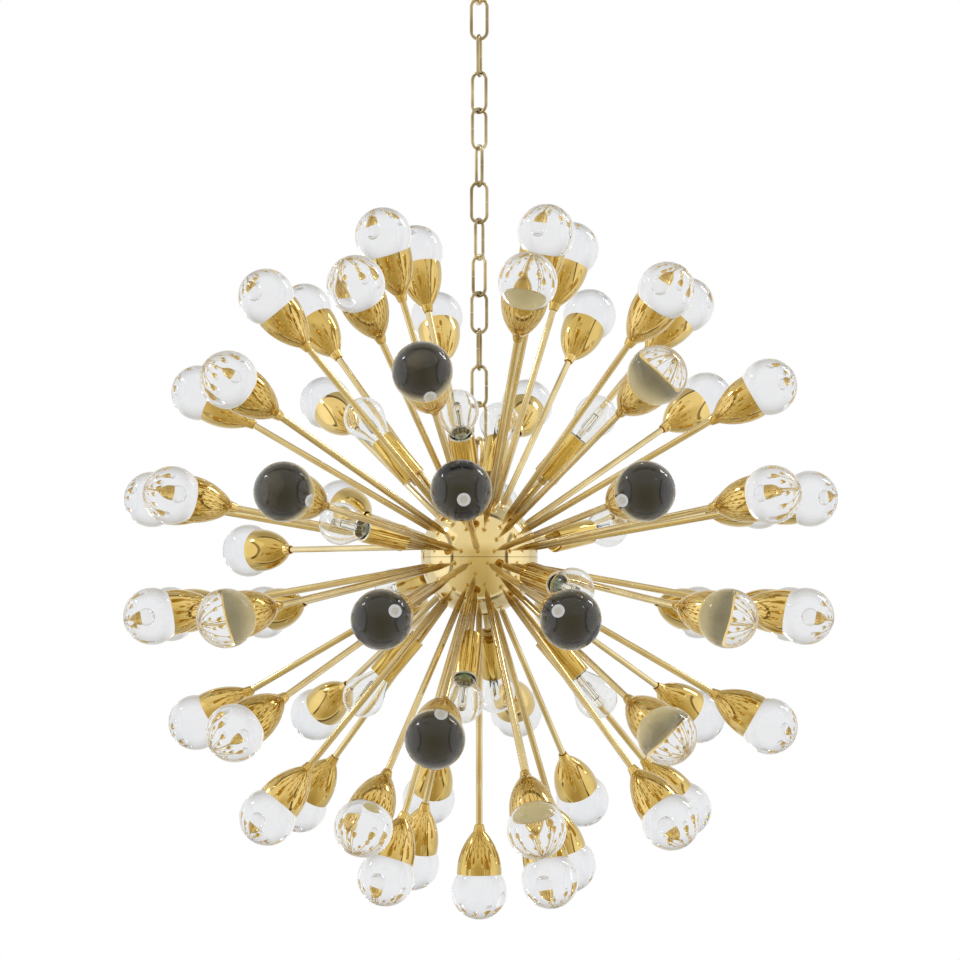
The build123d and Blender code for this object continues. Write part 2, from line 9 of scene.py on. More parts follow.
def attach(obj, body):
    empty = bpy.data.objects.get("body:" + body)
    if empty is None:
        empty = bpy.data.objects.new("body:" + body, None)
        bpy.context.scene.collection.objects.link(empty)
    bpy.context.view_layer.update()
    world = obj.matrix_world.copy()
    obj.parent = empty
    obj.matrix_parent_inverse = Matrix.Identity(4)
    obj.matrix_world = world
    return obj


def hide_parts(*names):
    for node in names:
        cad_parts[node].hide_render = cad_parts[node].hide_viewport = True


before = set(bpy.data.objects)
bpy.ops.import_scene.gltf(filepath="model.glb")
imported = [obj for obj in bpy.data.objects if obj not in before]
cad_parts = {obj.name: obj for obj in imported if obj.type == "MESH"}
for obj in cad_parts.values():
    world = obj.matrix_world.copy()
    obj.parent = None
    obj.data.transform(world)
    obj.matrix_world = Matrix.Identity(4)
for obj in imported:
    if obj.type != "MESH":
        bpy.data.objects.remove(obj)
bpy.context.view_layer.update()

# A round chandelier: the pieces that repeat round the hub are turned here again with finer
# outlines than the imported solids, each in the place of its own node.
# Sizes are in millimetres, as in the part's source, and become metres in the meshes.
MM = 0.001

# Chain: number of links, and the height of the hub's centre below the ceiling
CHAIN_LINKS = 12
HUB_Z = -672.7

# Hub
HUB_RADIUS = 63.0

# Rods
ROD_RADIUS = 3.5
SPIGOT_RADIUS = 2.5
SPIGOT_LENGTH = 9.5
FIT = 0.05
SEAT = 0.02

# Crystal arms
BALL_RADIUS = 30.0
BALL_RING_RADIUS = 360.0
BALL_SEAT_DEPTH = 19.0
BALL_HOLE_DEPTH = 10.0
CUP_LENGTH = 45.5
CUP_WALL = 0.9
CUP_NECK_RADIUS = 6.7
FERRULE_LENGTH = 8.0
FERRULE_TOP_RADIUS = 4.8
FERRULE_SOCKET = 3.0
FERRULE_COUNTERSINK = 1.6
FERRULE_LIP = 0.35
ROD_TIP_RADIUS = 2.0
ROD_TIP_GRIP = 6.0
STUD_RADIUS = 2.9

# Lamp arms
SLEEVE_RADIUS = 14.0
SLEEVE_LENGTH = 55.0
SLEEVE_WALL = 0.8
SLEEVE_LIP_WIDTH = 2.6
SLEEVE_LIP_HEIGHT = 1.2
SLEEVE_EDGE = 0.35
SLEEVE_FLOOR = 1.2
SLEEVE_MOUTH = 167.0
LAMP_COLLAR_RADIUS = 5.0
LAMP_COLLAR_LENGTH = 8.0
LAMP_COLLAR_BEAD = 0.5
LAMP_COLLAR_BEAD_HALF = 0.8
LAMP_COLLAR_SOCKET = 3.0
LAMP_TIP_RADIUS = 2.8
LAMP_TIP_GRIP = 6.0
WIRE_BORE_RADIUS = 1.5
HOLDER_RECESS = 2.5
HOLDER_MOUTH_RADIUS = 10.0
HOLDER_MOUTH_DEPTH = 4.0
HOLDER_SIDE_GAP = 0.15
CAP_RADIUS = 6.95
CAP_LENGTH = 20.0
CAP_CONTACT_HEIGHT = 2.5
BULB_RADIUS = 22.5
BULB_NECK_RADIUS = 8.2
BULB_WALL = 0.8
BULB_CENTRE = SLEEVE_MOUTH + 30.0
BULB_FOOT = SLEEVE_MOUTH - 4.0
BULB_STEM_RADIUS = 3.2
BULB_STEM_FLARE_RADIUS = 7.2
BULB_STEM_FLARE_HEIGHT = 1.5
BULB_STEM_LENGTH = 15.0
CAPSULE_RADIUS = 4.8
CAPSULE_LENGTH = 30.0
LEAD_RADIUS = 0.2
LEAD_SPREAD = 2.0
LEAD_RISE = 20.0
FILAMENT_RADIUS = 0.45
CAPSULE_FOOT_RADIUS = 0.9 * CAPSULE_RADIUS
CAPSULE_FOOT_HEIGHT = 0.8

# Rounding of the edges, the steps round each corner, and the most of an edge that one corner takes
EDGE_EASE = 0.2
COLLAR_EASE = 0.3
HOLDER_EASE = 0.3
STEM_EASE = 0.7
EASE_STEPS = 3
EASE_SHARE = 0.45

# Steps along the arcs of the outlines
CUP_OUTER_STEPS = 22
CUP_INNER_STEPS = 20
BALL_STEPS = 30
BULB_STEPS = 24
DOME_STEPS = 8
KNUCKLE_STEPS = 8

# Segments round the turned pieces
ROD_SEGMENTS = 28
RING_SEGMENTS = 36
FINE_SEGMENTS = 56
HOLDER_SEGMENTS = 48
STEM_SEGMENTS = 24
LEAD_SEGMENTS = 10
FILAMENT_SEGMENTS = 12
FLOOR_SEGMENTS = 96

# Lengths below these count as nothing: a radius on the axis, or a rounding
ON_AXIS = 1e-6
SHORTEST_EASE = 1e-4

# Bounds that tell the sides of a piece apart, as shares of its own size
CUP_INNER_SHARE = 0.75
CUP_FLOOR_SHARE = 0.5
BALL_SKIN_SHARE = 0.985
COLLAR_SKIN_SHARE = 0.9

# Edges that turn by more than this stay sharp, in degrees
SHARP_ANGLE = 32.0

# Layout of the arms, as in the part's source: latitude, number of arms and first azimuth of each ring
CRYSTAL_RINGS = ((70, 4, 45.0), (50, 8, 22.5), (30, 8, 0.0), (10, 12, 7.5))
LAMP_RINGS = ((50, 4, 0.0), (10, 2, 52.5))
UPPER_TURN = -10.3
LOWER_TURN = -8.0
SAGGING_RING = "upper_10"
SAGGING_INDEX = 5
SAG_DROP = 10.55
SAG_SWING = -11.4

# Places along an arm that follow from the sizes
BEND_RADIUS = HUB_RADIUS + ROD_RADIUS + FIT
CUP_BASE = BALL_RING_RADIUS - BALL_SEAT_DEPTH - CUP_LENGTH
ROD_END = CUP_BASE - FERRULE_LENGTH + FERRULE_SOCKET
SLEEVE_BASE = SLEEVE_MOUTH - SLEEVE_LENGTH
LAMP_ROD_END = SLEEVE_BASE - LAMP_COLLAR_LENGTH + LAMP_COLLAR_SOCKET
HOLDER_BASE = SLEEVE_BASE + SLEEVE_FLOOR
HOLDER_TOP = SLEEVE_MOUTH - HOLDER_RECESS
CAP_BASE = BULB_FOOT - CAP_LENGTH
ROD_START = HUB_RADIUS - SPIGOT_LENGTH
ROD_TIP = CUP_BASE + CUP_WALL + ROD_TIP_GRIP
BALL_HOLE_FLOOR = BALL_RING_RADIUS - BALL_RADIUS + BALL_HOLE_DEPTH
BULB_STEM_TOP = BULB_FOOT + BULB_STEM_LENGTH

# The cup's wall lies between two arcs about one centre
CUP_SEAT_RADIUS = math.sqrt(BALL_RADIUS ** 2 - BALL_SEAT_DEPTH ** 2)
CUP_RIM_RADIUS = CUP_SEAT_RADIUS + FIT + CUP_WALL
CUP_FLARE = CUP_RIM_RADIUS - CUP_NECK_RADIUS
CUP_ARC_RADIUS = (CUP_FLARE ** 2 + CUP_LENGTH ** 2) / (2 * CUP_FLARE)
CUP_ARC_CENTRE = (CUP_RIM_RADIUS - CUP_ARC_RADIUS, CUP_BASE + CUP_LENGTH)

# The body that all pieces made here ride on, and the seed of their shades
CHANDELIER = "chandelier"
SEED = 7

WHITE = (1.0, 1.0, 1.0)
BLACK = (0.0, 0.0, 0.0)

# Looks of the seam round the hub: reach of the tone's ramp in metres, and the seam's shade
SEAM_REACH = 0.002
SEAM_SHADE = (0.12, 0.09, 0.05)

# Colours that the studs, darkened with painted shade, and the unpolished linings keep where they are seen at
# a flat angle
DULL_EDGE = (0.2, 0.2, 0.2, 1.0)
LINING_EDGE = (0.70, 0.66, 0.56, 1.0)

# Roughness that handling adds to the brass where it is most marked
SMUDGE = 0.03

# Scales of the marks in the brass, for noise in metres, and how far copies of a piece differ in tone
TONE_SCALE = 24.0
SMUDGE_SCALE = 140.0
DRAWN_LINE_SCALE = 2600.0
WAVE_SCALE = 420.0
COPY_SPREAD = 0.16

# Painted shade on the arms near the hub, and the radius at which it ends
ROOT_SHADE = (0.55, 0.47, 0.34)
ROOT_SHADE_END = 130.0

# Noise values between which a tone runs from deep to pale
NOISE_LOW = 0.3
NOISE_HIGH = 0.7
SMUDGE_LOW = 0.35
SMUDGE_HIGH = 0.75

# Drawn lines in the rods: how they are stretched, what they add to the roughness, and their depth in metres
DRAWN_STRETCH = (1.0, 1.0, 0.01)
DRAWN_SHINE = (-0.02, 0.05)
DRAWN_DEPTH = 0.00004

# Waviness of the other brass
WAVE_STRENGTH = 0.01
WAVE_DEPTH = 0.0002

# Cup linings: stops of the painted shade and light along the cup, how far patches shift them, and the range
# of roughness
LINING_STOPS = (0.77, 0.825, 0.885)
LINING_PATCH_SCALE = 90.0
LINING_SHIFT = 0.06
LINING_ROUGHNESS = (0.34, 0.5)
LINING_BUMP = 0.1

# Glass: scale of its cloudiness, and the paler end of its tint
CLOUD_SCALE = 30.0
CLOUD_PALER = 1.012
PRESSED_SCALE = 260.0

# Shares of the ball's hole radius between which the stud's end gives way to ground glass
STUD_END_SHARE = 0.50
GROUND_SHARE = 0.62

# Moulded and plated surfaces
PLAIN_SHINE = (-0.05, 0.08)
PLAIN_BUMP = 0.12
GRAIN_DEPTH = 0.0001

random.seed(SEED)


# Placing


def turn(axis, degrees):
    return Matrix.Rotation(math.radians(degrees), 4, axis)


def arm_place(latitude, azimuth):
    """The frame of an arm: origin at the hub's centre, +Z out along the arm."""
    return Matrix.Translation((0, 0, HUB_Z)) @ turn("Z", azimuth) @ turn("Y", 90 - latitude)


def ring_places(rings, side, offset):
    """Arm frames of each ring on one half of the hub, +1 for the upper half and -1 for the lower."""
    return {
        latitude: [
            arm_place(side * latitude, side * (first + step * 360 / count) + offset) for step in range(count)
        ]
        for latitude, count, first in rings
    }


# Turned outlines


def arc(centre, radius, start, end, steps):
    """Points on an arc in the (radius, height) plane, from start to end in degrees."""
    angles = [math.radians(start + (end - start) * i / steps) for i in range(steps + 1)]
    return [(centre[0] + radius * math.cos(a), centre[1] + radius * math.sin(a)) for a in angles]


def eased(corners, radius):
    """The same outline with each corner off the axis rounded by about this radius."""
    outline = []
    count = len(corners)
    for i, corner in enumerate(corners):
        here = Vector(corner)
        before = Vector(corners[i - 1]) - here
        after = Vector(corners[(i + 1) % count]) - here
        reach = min(radius, before.length * EASE_SHARE, after.length * EASE_SHARE)
        if corner[0] < ON_AXIS or reach < SHORTEST_EASE:
            outline.append(corner)
            continue
        first = here + before.normalized() * reach
        last = here + after.normalized() * reach
        for step in range(EASE_STEPS + 1):
            t = step / EASE_STEPS
            point = first * (1 - t) ** 2 + here * 2 * t * (1 - t) + last * t ** 2
            outline.append((point.x, point.y))
    return outline


def lathe(outline, segments):
    """Vertices and faces of an outline turned about Z.

    An outline that starts and ends on the axis is closed by it, and any other is joined end to start.
    """
    verts = []
    rings = []
    for radius, height in outline:
        if radius < ON_AXIS:
            rings.append([len(verts)] * segments)
            verts.append(Vector((0, 0, height)))
            continue
        rings.append(list(range(len(verts), len(verts) + segments)))
        for i in range(segments):
            a = 2 * math.pi * i / segments
            verts.append(Vector((radius * math.cos(a), radius * math.sin(a), height)))
    on_axis = outline[0][0] < ON_AXIS and outline[-1][0] < ON_AXIS
    pairs = list(zip(rings, rings[1:]))
    if not on_axis:
        pairs.append((rings[-1], rings[0]))
    faces = []
    for low, high in pairs:
        for i in range(segments):
            j = (i + 1) % segments
            corners = list(dict.fromkeys((low[i], low[j], high[j], high[i])))
            if len(corners) > 2:
                faces.append(corners)
    return verts, faces


def facing_out(verts, faces):
    """The faces of a closed shape, all turned outwards."""
    mesh = bmesh.new()
    points = [mesh.verts.new(v) for v in verts]
    for face in faces:
        mesh.faces.new([points[i] for i in face])
    mesh.verts.index_update()
    bmesh.ops.recalc_face_normals(mesh, faces=mesh.faces)
    out = [[v.index for v in face.verts] for face in mesh.faces]
    mesh.free()
    return out


class Turned:
    """A turned piece at hand for placing: its vertices, its faces and a material number for each face.

    The number comes from the side of the piece that a face lies on, where the piece has more than one.
    """

    def __init__(self, outline, segments, side=None):
        self.verts, faces = lathe(outline, segments)
        self.faces = facing_out(self.verts, faces)
        self.numbers = [0] * len(self.faces)
        if side:
            for i, face in enumerate(self.faces):
                middle = sum((self.verts[v] for v in face), Vector()) / len(face)
                self.numbers[i] = side(math.hypot(middle.x, middle.y), middle.z)


def build(name, pieces, materials, node):
    """One object of placed turned pieces, standing for a CAD node if one is given.

    Each copy keeps its own shade and local place.
    """
    verts = []
    faces = []
    numbers = []
    local = []
    shade = []
    for shape, place in pieces:
        start = len(verts)
        own_shade = random.random()
        verts.extend(place @ v * MM for v in shape.verts)
        faces.extend([start + i for i in face] for face in shape.faces)
        numbers.extend(shape.numbers)
        for v in shape.verts:
            local.extend(v * MM)
            shade.append(own_shade)
    mesh = bpy.data.meshes.new(name)
    mesh.from_pydata(verts, [], faces)
    mesh.attributes.new("local_place", "FLOAT_VECTOR", "POINT").data.foreach_set("vector", local)
    mesh.attributes.new("own_shade", "FLOAT", "POINT").data.foreach_set("value", shade)
    for material in materials:
        mesh.materials.append(material)
    mesh.polygons.foreach_set("material_index", numbers)
    mesh.polygons.foreach_set("use_smooth", [True] * len(faces))
    mesh.set_sharp_from_angle(angle=math.radians(SHARP_ANGLE))
    mesh.update()
    piece = bpy.data.objects.new(name, mesh)
    bpy.context.scene.collection.objects.link(piece)
    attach(piece, CHANDELIER)
    if node:
        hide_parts(node)


# Nodes that the materials and the world share


def node_sum(tree, operation, first, second):
    """One sum in a node tree, of outputs or plain numbers."""
    node = tree.nodes.new("ShaderNodeMath")
    node.operation = operation
    for socket, value in zip(node.inputs, (first, second)):
        if isinstance(value, (int, float)):
            socket.default_value = value
        else:
            tree.links.new(value, socket)
    return node.outputs["Value"]


def node_ramp(tree, value, *stops):
    """Colours along a value in a node tree, from two or more stops."""
    node = tree.nodes.new("ShaderNodeValToRGB")
    elements = node.color_ramp.elements
    while len(elements) < len(stops):
        elements.new(0.5)
    for element, (position, colour) in zip(elements, stops):
        element.position = position
        element.color = (*colour, 1.0)
    tree.links.new(value, node.inputs["Fac"])
    return node.outputs["Color"]


def node_mix(tree, blend, factor, first, second):
    """Two colours of a node tree blended by a factor, an output or a plain number."""
    node = tree.nodes.new("ShaderNodeMix")
    node.data_type = "RGBA"
    node.blend_type = blend
    if isinstance(factor, float):
        node.inputs["Factor"].default_value = factor
    else:
        tree.links.new(factor, node.inputs["Factor"])
    tree.links.new(first, node.inputs[6])
    tree.links.new(second, node.inputs[7])
    return node.outputs[2]


# Materials


class Shading:
    """A material's node tree, with short calls for the nodes used here."""

    def __init__(self, name):
        self.material = bpy.data.materials.new(name)
        self.material.use_nodes = True
        self.tree = self.material.node_tree
        self.nodes = self.tree.nodes
        self.links = self.tree.links
        self.shader = self.nodes["Principled BSDF"]

    def set(self, **values):
        for key, value in values.items():
            self.shader.inputs[key.replace("_", " ")].default_value = value

    def link(self, output, node, key):
        self.links.new(output, node.inputs[key])

    def place(self):
        return self.nodes.new("ShaderNodeTexCoord").outputs["Object"]

    def attribute(self, name, output):
        node = self.nodes.new("ShaderNodeAttribute")
        node.attribute_name = name
        return node.outputs[output]

    def stretched(self, vector, scale):
        node = self.nodes.new("ShaderNodeMapping")
        node.inputs["Scale"].default_value = scale
        self.link(vector, node, "Vector")
        return node.outputs["Vector"]

    def noise(self, vector, scale, detail=3.0, roughness=0.55):
        node = self.nodes.new("ShaderNodeTexNoise")
        node.inputs["Scale"].default_value = scale
        node.inputs["Detail"].default_value = detail
        node.inputs["Roughness"].default_value = roughness
        self.link(vector, node, "Vector")
        return node.outputs["Fac"]

    def remap(self, value, low, high, to_low, to_high):
        node = self.nodes.new("ShaderNodeMapRange")
        for key, number in zip(("From Min", "From Max", "To Min", "To Max"), (low, high, to_low, to_high)):
            node.inputs[key].default_value = number
        self.link(value, node, "Value")
        return node.outputs["Result"]

    def add(self, first, second):
        return node_sum(self.tree, "ADD", first, second)

    def ramp(self, value, *stops):
        return node_ramp(self.tree, value, *stops)

    def axis(self, vector, letter):
        node = self.nodes.new("ShaderNodeSeparateXYZ")
        self.link(vector, node, "Vector")
        return node.outputs[letter]

    def multiplied(self, first, second):
        return node_mix(self.tree, "MULTIPLY", 1.0, first, second)

    def bump(self, height, strength, distance):
        node = self.nodes.new("ShaderNodeBump")
        node.inputs["Strength"].default_value = strength
        node.inputs["Distance"].default_value = distance
        self.link(height, node, "Height")
        self.link(node.outputs["Normal"], self.shader, "Normal")


def brass(name, pale, deep, roughness, grain=0.0, copies=True, seam=False, shade_roots=False):
    """Brass with slow changes of tone and handling marks in its shine.

    Where asked it has drawn lines along each piece, the dark seam round the hub's equator, or
    painted shade that darkens the arms towards their roots at the hub.
    """
    m = Shading(name)
    m.set(Metallic=1.0)
    place = m.place()
    tone = m.noise(place, TONE_SCALE, 2.0)
    if copies:
        tone = m.add(tone, m.remap(m.attribute("own_shade", "Fac"), 0.0, 1.0, -COPY_SPREAD, COPY_SPREAD))
    colour = m.ramp(tone, (NOISE_LOW, deep), (NOISE_HIGH, pale))
    if seam:
        height = m.remap(m.axis(place, "Z"), HUB_Z * MM - SEAM_REACH, HUB_Z * MM + SEAM_REACH, 0.0, 1.0)
        line = m.ramp(height, (0.40, WHITE), (0.47, SEAM_SHADE), (0.53, SEAM_SHADE), (0.60, WHITE))
        colour = m.multiplied(colour, line)
    # Painted shade: the arms darken towards their roots at the hub
    if shade_roots:
        along = m.axis(m.attribute("local_place", "Vector"), "Z")
        near = m.remap(along, HUB_RADIUS * MM, ROOT_SHADE_END * MM, 0.0, 1.0)
        colour = m.multiplied(colour, m.ramp(near, (0.0, ROOT_SHADE), (1.0, WHITE)))
    m.link(colour, m.shader, "Base Color")
    smudge = m.noise(place, SMUDGE_SCALE, 4.0, 0.6)
    shine = m.remap(smudge, SMUDGE_LOW, SMUDGE_HIGH, roughness, roughness + SMUDGE)
    if grain:
        drawn = m.stretched(m.attribute("local_place", "Vector"), DRAWN_STRETCH)
        lines = m.noise(drawn, DRAWN_LINE_SCALE, 2.0)
        shine = m.add(shine, m.remap(lines, NOISE_LOW, NOISE_HIGH, *DRAWN_SHINE))
        m.bump(lines, grain, DRAWN_DEPTH)
    else:
        m.bump(m.noise(place, WAVE_SCALE, 2.0), WAVE_STRENGTH, WAVE_DEPTH)
    m.link(shine, m.shader, "Roughness")
    return m.material


def cup_lining(name, lit_rim_colour, middle_colour, shaded_foot_colour):
    """The unpolished inside of a cup: dull brass with painted light that makes it pale at the rim, and
    painted shade that darkens it towards the foot.
    """
    m = Shading(name)
    m.set(Metallic=0.9, Specular_Tint=LINING_EDGE)
    patch = m.noise(m.place(), LINING_PATCH_SCALE, 3.0)
    along = m.axis(m.attribute("local_place", "Vector"), "Z")
    height = m.remap(along, CUP_BASE * MM, (CUP_BASE + CUP_LENGTH) * MM, 0.0, 1.0)
    height = m.add(height, m.remap(patch, NOISE_LOW, NOISE_HIGH, -LINING_SHIFT, LINING_SHIFT))
    tone = m.ramp(height, *zip(LINING_STOPS, (shaded_foot_colour, middle_colour, lit_rim_colour)))
    m.link(tone, m.shader, "Base Color")
    m.link(m.remap(patch, NOISE_LOW, NOISE_HIGH, *LINING_ROUGHNESS), m.shader, "Roughness")
    m.bump(patch, LINING_BUMP, GRAIN_DEPTH)
    return m.material


def glass(name, tint, ior, mirror=WHITE):
    """Clear glass with a trace of colour that changes slowly through it, and a tint of its reflections."""
    m = Shading(name)
    m.set(Transmission_Weight=1.0, IOR=ior, Roughness=0.0, Specular_Tint=(*mirror, 1.0))
    cloud = m.noise(m.place(), CLOUD_SCALE, 2.0)
    paler = tuple(min(1.0, c * CLOUD_PALER) for c in tint)
    m.link(m.ramp(cloud, (NOISE_LOW, tint), (NOISE_HIGH, paler)), m.shader, "Base Color")
    return m.material


def shade_darkened(name, pale, deep):
    """Brass darkened nearly to black with painted shade, dull at every angle."""
    m = Shading(name)
    m.set(Metallic=1.0, Specular_Tint=DULL_EDGE, Roughness=0.45)
    tone = m.noise(m.place(), TONE_SCALE, 2.0)
    m.link(m.ramp(tone, (NOISE_LOW, deep), (NOISE_HIGH, pale)), m.shader, "Base Color")
    return m.material


def pressed_glass(name, pale, deep):
    """Thick cloudy glass, as in the foot of a bulb's stem."""
    m = Shading(name)
    m.set(Transmission_Weight=0.2, IOR=1.5, Roughness=0.12)
    cloud = m.noise(m.place(), PRESSED_SCALE, 2.0)
    m.link(m.ramp(cloud, (0.35, deep), (0.65, pale)), m.shader, "Base Color")
    return m.material


def ground_floor(name, middle_colour, edge_colour):
    """The ground floor of a ball's hole: the stud's end shows through its middle."""
    m = Shading(name)
    local = m.stretched(m.attribute("local_place", "Vector"), (1.0, 1.0, 0.0))
    length = m.nodes.new("ShaderNodeVectorMath")
    length.operation = "LENGTH"
    m.link(local, length, 0)
    out = m.remap(length.outputs["Value"], 0.0, (STUD_RADIUS + FIT) * MM, 0.0, 1.0)
    tone = m.ramp(out, (STUD_END_SHARE, middle_colour), (GROUND_SHARE, edge_colour))
    m.link(tone, m.shader, "Base Color")
    m.set(Roughness=0.7)
    return m.material


def plain(name, pale, deep, roughness, metallic=0.0, scale=180.0):
    """A moulded or plated surface with a fine unevenness of colour and shine."""
    m = Shading(name)
    m.set(Metallic=metallic)
    grain = m.noise(m.place(), scale, 4.0)
    low, high = (roughness + step for step in PLAIN_SHINE)
    m.link(m.ramp(grain, (NOISE_LOW, deep), (NOISE_HIGH, pale)), m.shader, "Base Color")
    m.link(m.remap(grain, NOISE_LOW, NOISE_HIGH, low, high), m.shader, "Roughness")
    m.bump(grain, PLAIN_BUMP, GRAIN_DEPTH)
    return m.material


polished_brass = brass("polished_brass", (0.80, 0.60, 0.24), (0.62, 0.445, 0.14), 0.02)
sleeve_brass = brass("sleeve_brass", (0.77, 0.56, 0.18), (0.62, 0.435, 0.125), 0.02)
# The sleeve's lip is painted pale as a highlight
rim_highlight_brass = brass("rim_highlight_brass", (0.93, 0.88, 0.74), (0.88, 0.81, 0.65), 0.25)
# The cup's inside: painted light at the rim, then painted shade down to a near-black foot
cup_inside_shaded_brass = cup_lining(
    "cup_inside_shaded_brass", (1.0, 0.92, 0.66), (0.78, 0.69, 0.47), (0.045, 0.044, 0.045)
)
shell_brass = brass("shell_brass", (0.82, 0.67, 0.36), (0.77, 0.62, 0.32), 0.06, copies=False)
hub_brass = brass("hub_brass", (0.82, 0.67, 0.36), (0.77, 0.62, 0.32), 0.06, copies=False, seam=True)
# Rods and tubes: drawn brass with painted shade towards the hub
satin_brass = brass("satin_brass", (0.80, 0.67, 0.38), (0.66, 0.53, 0.28), 0.07, grain=0.08, shade_roots=True)
chain_brass = brass("chain_brass", (0.70, 0.61, 0.39), (0.27, 0.21, 0.11), 0.09, copies=False)
# The collar's ends are darkened with painted shade
collar_shaded_brass = brass("collar_shaded_brass", (0.58, 0.44, 0.21), (0.44, 0.33, 0.15), 0.10)
# The studs at the cups' feet are painted near-black as shade
stud_shaded_brass = shade_darkened("stud_shaded_brass", (0.050, 0.048, 0.048), (0.035, 0.034, 0.034))
crystal_glass = glass("crystal_glass", (0.970, 0.976, 0.990), 1.5, mirror=(0.95, 0.95, 1.0))
hole_floor = ground_floor("hole_floor", (0.80, 0.75, 0.62), (0.92, 0.92, 0.90))
hole_wall = plain("hole_wall", (0.060, 0.056, 0.050), (0.040, 0.037, 0.033), 0.6)
bulb_glass = glass("bulb_glass", (0.985, 0.99, 0.985), 1.46)
neck_glass = glass("neck_glass", (0.74, 0.84, 0.66), 1.5)
stem_foot_glass = pressed_glass("stem_foot_glass", (0.52, 0.95, 0.44), (0.17, 0.42, 0.16))
quartz_glass = glass("quartz_glass", (0.95, 0.96, 0.95), 1.46)
lead_metal = plain("lead_metal", (0.10, 0.09, 0.07), (0.05, 0.045, 0.04), 0.35, metallic=1.0)
black_plastic = plain("black_plastic", (0.022, 0.022, 0.024), (0.012, 0.012, 0.013), 0.42)
zinc_steel = plain("zinc_steel", (0.66, 0.66, 0.64), (0.52, 0.52, 0.50), 0.3, metallic=1.0, scale=90.0)


# Pieces of a crystal arm


def rod_outline():
    """A straight rod from its spigot in the hub to its tip in the stud."""
    corners = [
        (0, ROD_START),
        (SPIGOT_RADIUS, ROD_START),
        (SPIGOT_RADIUS, HUB_RADIUS),
        (ROD_RADIUS, HUB_RADIUS),
        (ROD_RADIUS, ROD_END),
        (ROD_TIP_RADIUS, ROD_END),
        (ROD_TIP_RADIUS, ROD_TIP),
        (0, ROD_TIP),
    ]
    return eased(corners, EDGE_EASE)


def shank_outline():
    """The bent arm's shank: a round knuckle at the bend, then the end of a straight rod."""
    knuckle = arc((0, BEND_RADIUS), ROD_RADIUS, -90, 0, KNUCKLE_STEPS)
    knuckle[0] = (0, knuckle[0][1])
    three_corners_and_tip = 3 * (EASE_STEPS + 1) + 1
    return knuckle + rod_outline()[-three_corners_and_tip:]


def cup_outline():
    """Outer and inner side of the tulip, joined by a flat lip at the rim."""
    inner_radius = CUP_ARC_RADIUS - CUP_WALL
    outer_sweep = math.degrees(math.asin(CUP_LENGTH / CUP_ARC_RADIUS))
    inner_sweep = math.degrees(math.asin((CUP_LENGTH - CUP_WALL) / inner_radius))
    outer = arc(CUP_ARC_CENTRE, CUP_ARC_RADIUS, -outer_sweep, 0, CUP_OUTER_STEPS)
    inner = arc(CUP_ARC_CENTRE, inner_radius, 0, -inner_sweep, CUP_INNER_STEPS)
    hole = ROD_TIP_RADIUS + FIT
    return outer + inner + [(hole, CUP_BASE + CUP_WALL), (hole, CUP_BASE)]


def cup_side(radius, height):
    """0 for the polished outside of the cup, 1 for its inside."""
    away = math.hypot(radius - CUP_ARC_CENTRE[0], height - CUP_ARC_CENTRE[1])
    inside = away < CUP_ARC_RADIUS - CUP_WALL * CUP_INNER_SHARE
    above_floor = height > CUP_BASE + CUP_WALL * CUP_FLOOR_SHARE
    return 1 if inside and above_floor else 0


def ferrule_outline():
    start = CUP_BASE - FERRULE_LENGTH
    hole = ROD_TIP_RADIUS + FIT
    socket = ROD_RADIUS + FIT
    corners = [
        (socket, start + FERRULE_COUNTERSINK),
        (FERRULE_TOP_RADIUS - FERRULE_LIP, start),
        (FERRULE_TOP_RADIUS, start),
        (CUP_NECK_RADIUS, CUP_BASE),
        (hole, CUP_BASE),
        (hole, ROD_END),
        (socket, ROD_END),
    ]
    return eased(corners, EDGE_EASE)


def ball_outline():
    """A ball with a blind hole for its stud."""
    hole = STUD_RADIUS + FIT
    mouth = math.degrees(math.asin(hole / BALL_RADIUS))
    sphere = arc((0, BALL_RING_RADIUS), BALL_RADIUS, 90, -90 + mouth, BALL_STEPS)
    sphere[0] = (0, sphere[0][1])
    return sphere + [(hole, BALL_HOLE_FLOOR), (0, BALL_HOLE_FLOOR)]


def ball_side(radius, height):
    """0 for the polished ball, 1 for the floor of its hole and 2 for the hole's wall."""
    if math.hypot(radius, height - BALL_RING_RADIUS) > BALL_RADIUS * BALL_SKIN_SHARE:
        return 0
    return 1 if abs(height - BALL_HOLE_FLOOR) < FIT else 2


# Pieces of a lamp arm


def tube_outline():
    end = HOLDER_BASE + LAMP_TIP_GRIP
    corners = [
        (WIRE_BORE_RADIUS, ROD_START),
        (SPIGOT_RADIUS, ROD_START),
        (SPIGOT_RADIUS, HUB_RADIUS),
        (ROD_RADIUS, HUB_RADIUS),
        (ROD_RADIUS, LAMP_ROD_END),
        (LAMP_TIP_RADIUS, LAMP_ROD_END),
        (LAMP_TIP_RADIUS, end),
        (WIRE_BORE_RADIUS, end),
    ]
    return eased(corners, EDGE_EASE)


def collar_outline():
    start = SLEEVE_BASE - LAMP_COLLAR_LENGTH
    middle = (start + SLEEVE_BASE) / 2
    hole = LAMP_TIP_RADIUS + FIT
    socket = ROD_RADIUS + FIT
    corners = [
        (socket, start),
        (LAMP_COLLAR_RADIUS, start),
        (LAMP_COLLAR_RADIUS, middle - LAMP_COLLAR_BEAD_HALF),
        (LAMP_COLLAR_RADIUS + LAMP_COLLAR_BEAD, middle),
        (LAMP_COLLAR_RADIUS, middle + LAMP_COLLAR_BEAD_HALF),
        (LAMP_COLLAR_RADIUS, SLEEVE_BASE),
        (hole, SLEEVE_BASE),
        (hole, LAMP_ROD_END),
        (socket, LAMP_ROD_END),
    ]
    return eased(corners, COLLAR_EASE)


